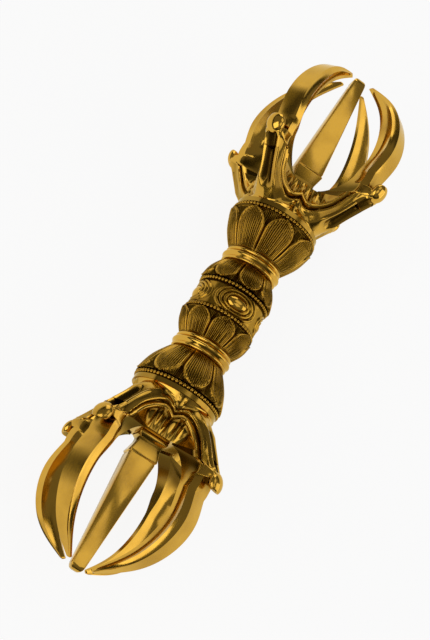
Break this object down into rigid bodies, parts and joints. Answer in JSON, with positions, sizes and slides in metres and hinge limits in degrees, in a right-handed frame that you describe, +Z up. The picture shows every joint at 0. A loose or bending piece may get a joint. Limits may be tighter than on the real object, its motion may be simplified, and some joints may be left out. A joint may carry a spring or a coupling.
{
  "type": "five-pronged vajra",
  "caption": "Brass ritual vajra with curved blade prongs round a centre prong at each end, lotus cups, beaded rims and an eyed hub.",
  "frame": {"origin": "middle of the underside, on the surface that the claws lie on", "axes": "+X along the vajra's long axis, +Z up"},
  "size_m": [0.18, 0.043, 0.043],
  "materials": {
    "polished_brass": "polished",
    "antique_brass": "antique satin",
    "core_brass": "turned"
  },
  "bodies": {
    "root": {"tie_rod": "core_brass", "eye_hub": "antique_brass", "eye_boss_front": "polished_brass", "eye_boss_top": "polished_brass", "eye_boss_back": "polished_brass", "eye_boss_bottom": "polished_brass", "left_inner_bead_ring": "antique_brass", "left_inner_lotus": "antique_brass", "left_collar": "polished_brass", "left_outer_lotus": "antique_brass", "left_outer_bead_ring": "antique_brass", "left_crown": "polished_brass", "left_prong_1": "polished_brass", "left_prong_2": "polished_brass", "left_prong_3": "polished_brass", "left_prong_4": "polished_brass", "left_centre_prong": "polished_brass", "right_inner_bead_ring": "antique_brass", "right_inner_lotus": "antique_brass", "right_collar": "polished_brass", "right_outer_lotus": "antique_brass", "right_outer_bead_ring": "antique_brass", "right_crown": "polished_brass", "right_prong_1": "polished_brass", "right_prong_2": "polished_brass", "right_prong_3": "polished_brass", "right_prong_4": "polished_brass", "right_centre_prong": "polished_brass"}
  },
  "joints": []
}
